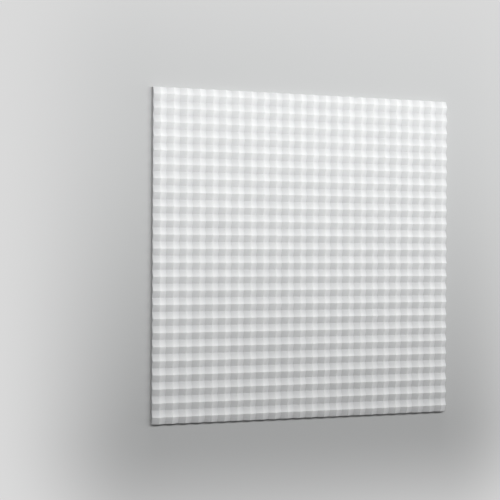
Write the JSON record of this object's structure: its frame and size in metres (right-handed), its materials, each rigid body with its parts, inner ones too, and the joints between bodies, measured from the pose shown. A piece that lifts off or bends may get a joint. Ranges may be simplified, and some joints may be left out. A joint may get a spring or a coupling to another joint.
{
  "type": "decorative wall panel",
  "caption": "Square moulded wall panel with a flat back and a faceted front of two crossing zigzag waves, glued to a wall and butted to others of its kind.",
  "frame": {"origin": "middle of the flat back, on the surface that the panel lies on", "axes": "+X across the panel, +Y up it as it hangs on a wall, +Z out of the relief front"},
  "size_m": [1, 1, 0.025],
  "materials": {
    "primed_foam": "matt white primer on moulded rigid polyurethane foam"
  },
  "bodies": {
    "root": {"relief_panel": "primed_foam"}
  },
  "joints": []
}
